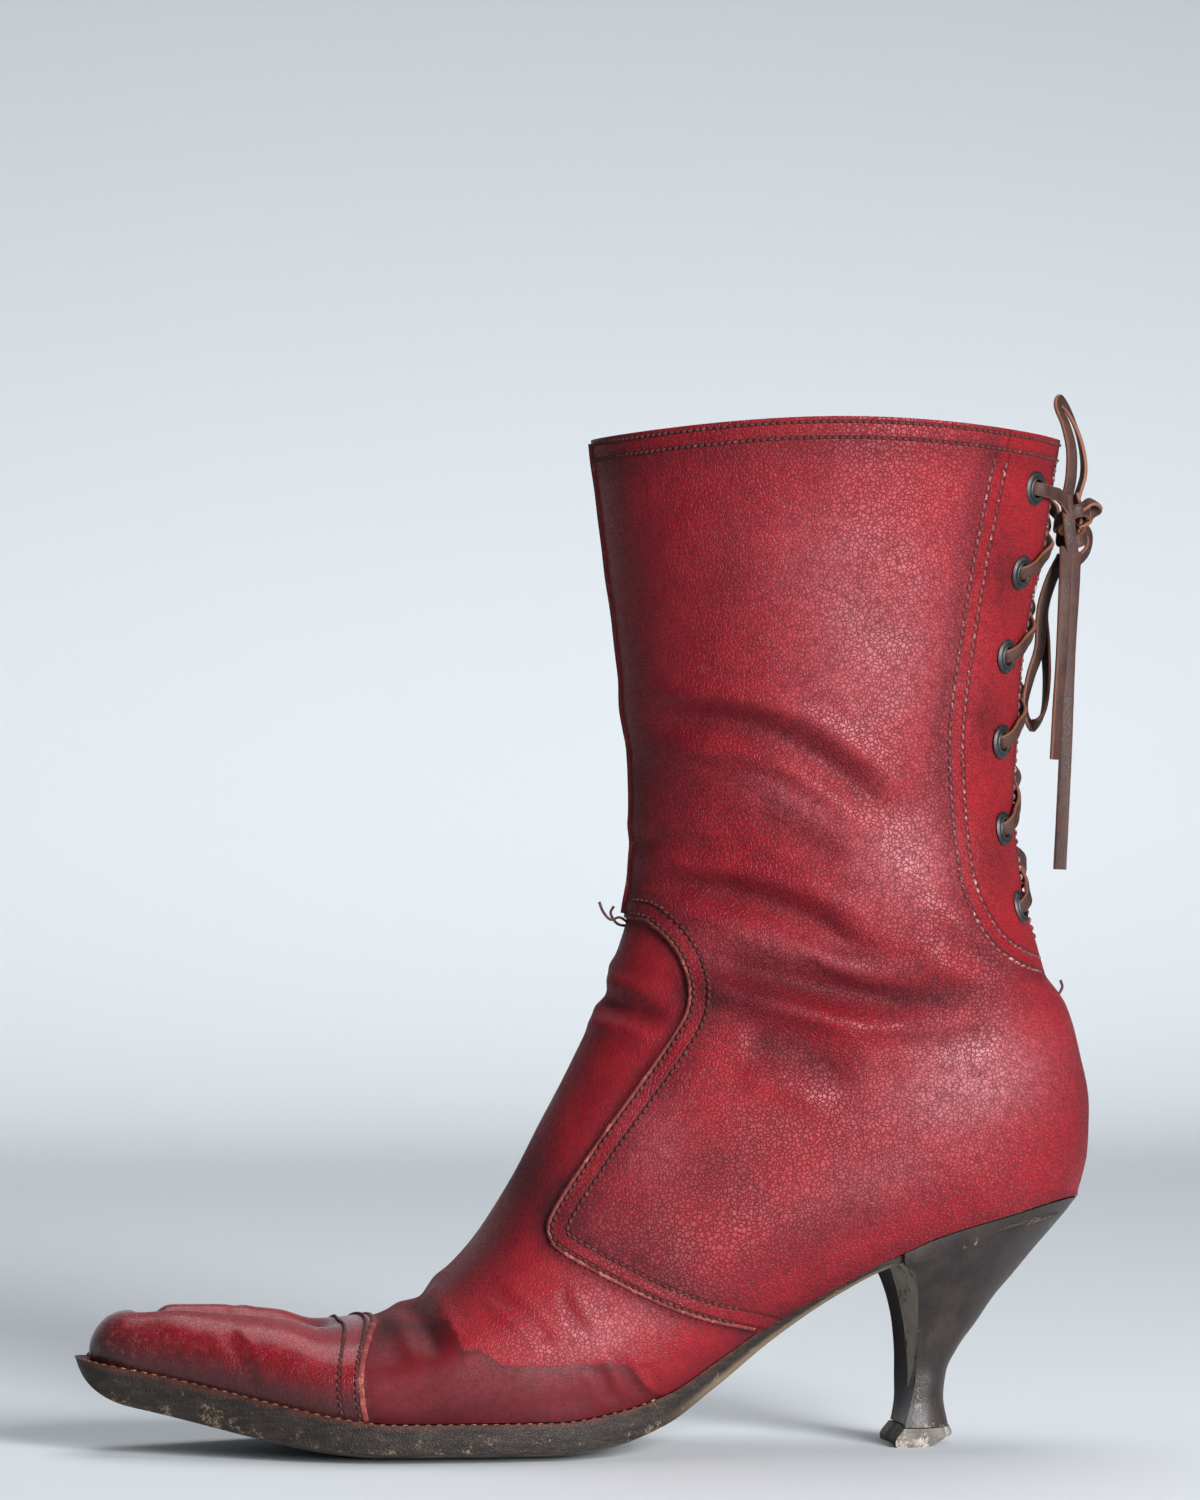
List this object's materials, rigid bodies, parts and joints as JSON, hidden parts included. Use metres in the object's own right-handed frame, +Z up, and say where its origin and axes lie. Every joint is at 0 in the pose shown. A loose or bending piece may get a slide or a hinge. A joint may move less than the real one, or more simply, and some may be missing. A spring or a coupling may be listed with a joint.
{
  "type": "back-laced heeled boot",
  "caption": "Hollow leather boot with a long pointed toe cap, seamed quarters, a low curved heel and an open back laced through metal eyelets and tied in a bow.",
  "frame": {"origin": "on the floor, under the centre of the boot's box, the bow left out", "axes": "+Z up, the toe points to -X, the outer side of the foot to -Y"},
  "size_m": [0.2768, 0.0942, 0.2849],
  "materials": {
    "red_leather": "burnished, fine pebbled grain",
    "sole_leather": "dark scuffed edge",
    "sock_leather": "plain, matt",
    "heel": "dark satin, scuffed",
    "top_lift": "worn, matt",
    "breast_leather": "worn, matt",
    "eyelet_steel": "dark gunmetal",
    "lace_leather": "flat cut lace, matt"
  },
  "bodies": {
    "root": {"upper": "red_leather", "outsole": "sole_leather", "insole": "sock_leather", "heel": "heel", "top_lift": "top_lift", "breast_flap": "breast_leather", "eyelet_lateral_1": "eyelet_steel", "eyelet_lateral_2": "eyelet_steel", "eyelet_lateral_3": "eyelet_steel", "eyelet_lateral_4": "eyelet_steel", "eyelet_lateral_5": "eyelet_steel", "eyelet_lateral_6": "eyelet_steel", "eyelet_medial_1": "eyelet_steel", "eyelet_medial_2": "eyelet_steel", "eyelet_medial_3": "eyelet_steel", "eyelet_medial_4": "eyelet_steel", "eyelet_medial_5": "eyelet_steel", "eyelet_medial_6": "eyelet_steel", "lace_cross_1": "lace_leather", "lace_cross_2": "lace_leather", "lace_cross_3": "lace_leather", "lace_cross_4": "lace_leather", "lace_cross_5": "lace_leather", "lace_knot": "lace_leather", "lace_loop_up": "lace_leather", "lace_loop_down": "lace_leather", "lace_end_long": "lace_leather", "lace_end_short": "lace_leather"}
  },
  "joints": []
}
